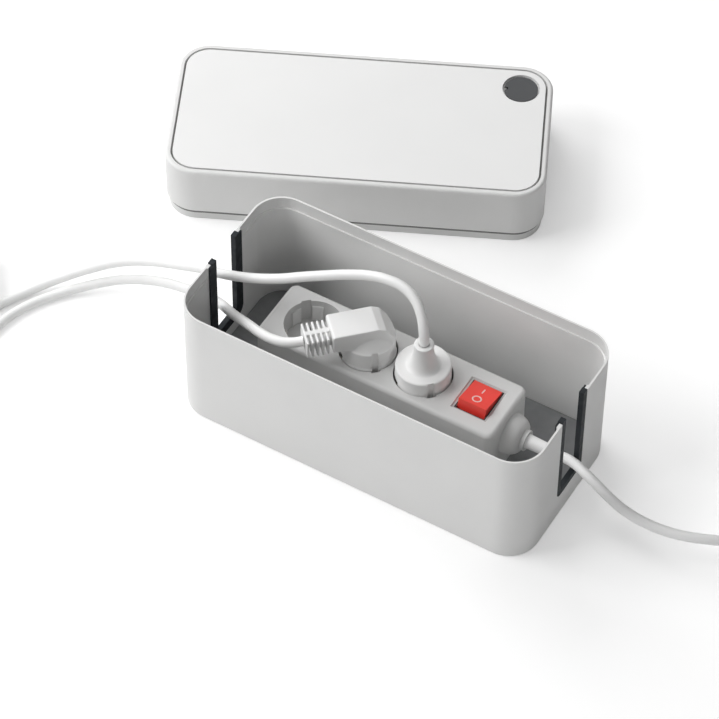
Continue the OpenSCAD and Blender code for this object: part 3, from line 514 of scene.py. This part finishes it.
def turned_plug(name, outline, grooves, at):
    """Turned body; grooves are (angle, half width, floor radius, top) and are cut into its side."""
    cuts = [(angle, math.degrees(math.asin(half / outline[1][0])), floor_r, head)
            for angle, half, floor_r, head in grooves]
    lines = set(range(0, 360, LINE_STEP))
    for angle, wide, _, _ in cuts:
        for away in (wide, wide + GROOVE_RIM):
            lines |= {(angle - away) % 360, (angle + away) % 360}
    lines = sorted(lines)
    n = len(outline)
    corners, faces = [(0, 0, outline[0][1])], []
    for a in lines:
        for r, z in outline:
            for angle, wide, floor_r, head in cuts:
                away = abs((a - angle + 180) % 360 - 180)
                if away < wide + GROOVE_RIM / 2 and z < head:
                    r = min(r, floor_r)
            corners.append((r * math.cos(math.radians(a)), r * math.sin(math.radians(a)), z))
    corners.append((0, 0, outline[-1][1]))
    for i in range(len(lines)):
        here, ahead = 1 + i * n, 1 + (i + 1) % len(lines) * n
        faces += [(here + m, ahead + m, ahead + m + 1, here + m + 1) for m in range(n - 1)]
        faces += [(0, ahead, here), (here + n - 1, ahead + n - 1, len(corners) - 1)]
    obj = piece(name, corners, faces, at, "box", "plug_white", smooth=True)
    obj.data.set_sharp_from_angle(angle=math.radians(SHARP_FROM))
    return obj


# Outline as (radius, height above the strip's face): in the well, disc, its shoulder, neck and tip
PLUG_OUTLINE = [
    (16.9, -17.5), (17.5, -17.2), (17.5, -0.4), (17.3, 0.0), (17.3, 8.2), (17.15, 8.7), (16.8, 9.1),
    (16.3, 9.3), (15.4, 9.4), (11.6, 9.4), (10.9, 9.5), (10.2, 9.9), (9.4, 10.8), (8.6, 12.2),
    (7.9, 14), (7.3, 16), (6.8, 18.2), (6.4, 20.5), (6.1, 23), (5.95, 25), (5.9, 26.6), (3.3, 27.2),
]
GUIDE_GROOVES = [(angle, 2.0, 16.3, 9.2) for angle in (0, 180)]
EARTH_GROOVES = [(angle, 3.4, 15.9, -0.3) for angle in (90, 270)]
COLLAR = [(3.3, 26.4), (6.0, 26.4), (6.2, 26.8), (6.2, 27.7), (5.95, 28.1), (5.5, 28.2), (3.9, 28.2),
          (3.3, 28.0)]

straight_plug = turned_plug("straight_plug_turned", PLUG_OUTLINE, GUIDE_GROOVES + EARTH_GROOVES,
                            in_socket(STRAIGHT_PLUG_IN))
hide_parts("straight_plug")
plug_collar = swept("plug_collar", COLLAR, in_socket(STRAIGHT_PLUG_IN), "box", "plug_white")


# ---- Switch: marks on the rocker, the bezel's raised rim and a black ring of painted shade in the gap round the rocker ----

# Marks on the rocker: heights above its pivot, how far from its middle each is, and their shapes
MARK_HEIGHTS = (6.72, 7.04)
ON_AT, OFF_AT = 4.0, -4.5
ON_WIDTH, ON_LENGTH = 0.9, 4.4
OFF_RING = [(2.2, 6.72), (3.1, 6.72), (3.1, 7.0), (3.05, 7.04), (2.25, 7.04), (2.2, 7.0)]
# Rim on the bezel's edge: how far it reaches in and out, how its inner wall leans, and its heights
RIM_IN, RIM_OUT, RIM_LEAN = Vector((0.65, 0.65)), Vector((0.12, 0.12)), 0.7
RIM_HEIGHTS = (-0.05, 0.78)
# Half of the opening for the rocker, how far the black ring of painted shade in the gap reaches past
# it, and its heights
ROCKER_OPENING = Vector((9.95, 12.05))
SURROUND = Vector((0.65, 0.35))
SURROUND_HEIGHTS = (-0.3, 0.06)


def on_rocker(y):
    """Place on the rocker, which rests at one end of its tilt."""
    tilt = next(joint for joint in frame["record"]["behaviour"]["joints"] if joint["child"] == "rocker")
    pivot = Vector(tilt["pos_m"]) * 1000
    return place(*pivot, tilt=-tilt["range_deg"][1] / 2) @ Matrix.Translation((0, y, 0))


bezel_face = place(SWITCH.x, SWITCH.y, BEZEL_Z)
bar("mark_on", ON_WIDTH, ON_LENGTH, MARK_HEIGHTS, on_rocker(ON_AT), "rocker", "mark_white", edge=0.03)
swept("mark_off", OFF_RING, on_rocker(OFF_AT), "rocker", "mark_white")
frame_ring("bezel_rim", BEZEL - RIM_IN, BEZEL + RIM_OUT, RIM_HEIGHTS, bezel_face, "box", "strip_grey",
           lean=RIM_LEAN)
frame_ring("rocker_gap_shade", ROCKER_OPENING, ROCKER_OPENING + SURROUND, SURROUND_HEIGHTS, bezel_face,
           "box", "gap_shade_black", edge=0.05)


# ---- Lid: strips of painted shade in its groove and under its skirt ----

# The lid's outline and its turn on the floor, as in the part's source
LID_LENGTH, LID_DEPTH, LID_CORNER_R = 246, 116, 20.5
LID_TURN = 25.4
# Corners of a line round the lid, as signs of X and Y, and the steps of one
CORNERS = ((1, 1), (-1, 1), (-1, -1), (1, -1))
CORNER_STEPS = 12
# Insets from the lid's sides, and heights, of the strips of painted shade
GROOVE_SHADE_LINE = {"outside": 3.7, "inside": 4.85, "heights": (42.41, 42.6)}
SKIRT_SHADE_LINE = {"outside": 1.35, "inside": 1.9, "heights": (5.6, 6.8)}


def round_lid(inset, z):
    """Line round the lid, inset from its sides."""
    w, d, r = LID_LENGTH / 2 - inset, LID_DEPTH / 2 - inset, LID_CORNER_R - inset
    line = []
    for q, (right, rear) in enumerate(CORNERS):
        line += arc(((w - r) * right, (d - r) * rear), (r, r), 90 * q, 90 * q + 90, CORNER_STEPS)
    return [(x, y, z) for x, y in line]


def lid_strip(name, outside, inside, heights, open_ends=False):
    """Soft strip of painted shade round the lid between two insets; with open_ends its end walls have
    none.
    """
    low, high = heights
    rings = [round_lid(outside, low), round_lid(inside, low), round_lid(inside, high),
             round_lid(outside, high)]
    n = len(rings[0])
    gaps = (n // 2 - 1, n - 1) if open_ends else ()
    faces = []
    for i in range(n):
        k = (i + 1) % n
        if i in gaps:
            faces.append(tuple(ring * n + i for ring in range(4)))
            faces.append(tuple(ring * n + k for ring in (3, 2, 1, 0)))
            continue
        for ring in range(4):
            after = (ring + 1) % 4
            faces.append((ring * n + i, ring * n + k, after * n + k, after * n + i))
    corners = [c for ring in rings for c in ring]
    lid = middle("lid_shell")
    return piece(name, corners, faces, place(lid.x, lid.y, 0, LID_TURN), "lid", "shade_line_grey", edge=0.05)


lid_strip("groove_shade_line", **GROOVE_SHADE_LINE)
lid_strip("skirt_shade_line", **SKIRT_SHADE_LINE, open_ends=True)


# ---- Sockets: four guide blocks on the wall of each well, in a lighter grey that paints the light they catch ----

# Outline as (radius, height above the strip's face), and the blocks' middles and half widths in degrees
GUIDE_BLOCK = [(17.85, -17.3), (18.7, -17.3), (18.7, -4.6), (17.85, -5.1)]
GUIDE_ANGLES = (22.2, -22.2, 157.8, 202.2)
GUIDE_HALF = 10.8

for i in range(len(SOCKETS)):
    for k, angle in enumerate(GUIDE_ANGLES):
        swept("guide_block_%d_%d" % (i + 1, k + 1), GUIDE_BLOCK, in_socket(i), "box", "guide_lit_grey",
              turns=(angle - GUIDE_HALF, angle + GUIDE_HALF), steps=8, edge=0.15, smooth=False)


# ---- Floor: a white backdrop that keeps the object's shadow ----

FLOOR_HALF = 6.0
FLOOR_GLOW = 0.36


def math_node(tree, operation, first):
    """Math node with its first socket linked."""
    made = tree.nodes.new("ShaderNodeMath")
    made.operation = operation
    tree.links.new(first, made.inputs[0])
    return made


def add_floor():
    """Floor that glows a little where the camera, a reflection or a see-through part shows it."""
    h = FLOOR_HALF
    data = bpy.data.meshes.new("floor")
    data.from_pydata([(-h, -h, 0), (h, -h, 0), (h, h, 0), (-h, h, 0)], [], [(0, 1, 2, 3)])
    obj = bpy.data.objects.new("floor", data)
    scene.collection.objects.link(obj)
    material = add_finish("floor_white", (0.82, 0.82, 0.82), 0.9)
    tree = material.node_tree
    surface = tree.nodes["Principled BSDF"].inputs
    surface["Specular IOR Level"].default_value = 0.1
    surface["Emission Color"].default_value = (1, 1, 1, 1)
    ray = tree.nodes.new("ShaderNodeLightPath").outputs
    seen = ray["Is Camera Ray"]
    for kind in ("Is Glossy Ray", "Is Transmission Ray"):
        either = math_node(tree, "MAXIMUM", seen)
        tree.links.new(ray[kind], either.inputs[1])
        seen = either.outputs[0]
    glow = math_node(tree, "MULTIPLY", seen)
    glow.inputs[1].default_value = FLOOR_GLOW
    tree.links.new(glow.outputs[0], surface["Emission Strength"])
    data.materials.append(material)


# ---- Light: a plain soft studio ----

# Place, aim, width and height in metres, and watts
LAMPS = {
    "key": ((-1.6, -0.9, 1.6), (0, 0, 0), 1.4, 1.4, 34),
    "upper_left": ((-1.7, 0.9, 1.5), (0, 0, 0), 1.6, 1.6, 28),
    "top": ((-0.2, 0.2, 2.1), (0, 0, 0), 1.8, 1.8, 11),
    "front_fill": ((0.4, -2.3, 0.6), (0, 0, 0.05), 1.8, 0.8, 6),
    "right_front": ((1.8, -1.5, 0.7), (0, 0, 0.05), 1.2, 0.8, 6),
}
WORLD_STRENGTH = 0.05


def add_lamp(name, at, aim, width, height, watts):
    data = bpy.data.lights.new(name, "AREA")
    data.shape = "RECTANGLE"
    data.size, data.size_y = width, height
    data.energy = watts
    obj = bpy.data.objects.new(name, data)
    scene.collection.objects.link(obj)
    obj.location = at
    obj.rotation_euler = (Vector(aim) - Vector(at)).to_track_quat("-Z", "Y").to_euler()


def add_world():
    world = bpy.data.worlds.new("studio")
    scene.world = world
    world.use_nodes = True
    background = world.node_tree.nodes["Background"].inputs
    background["Color"].default_value = (1, 1, 1, 1)
    background["Strength"].default_value = WORLD_STRENGTH


add_floor()
for name, values in LAMPS.items():
    add_lamp(name, *values)
add_world()
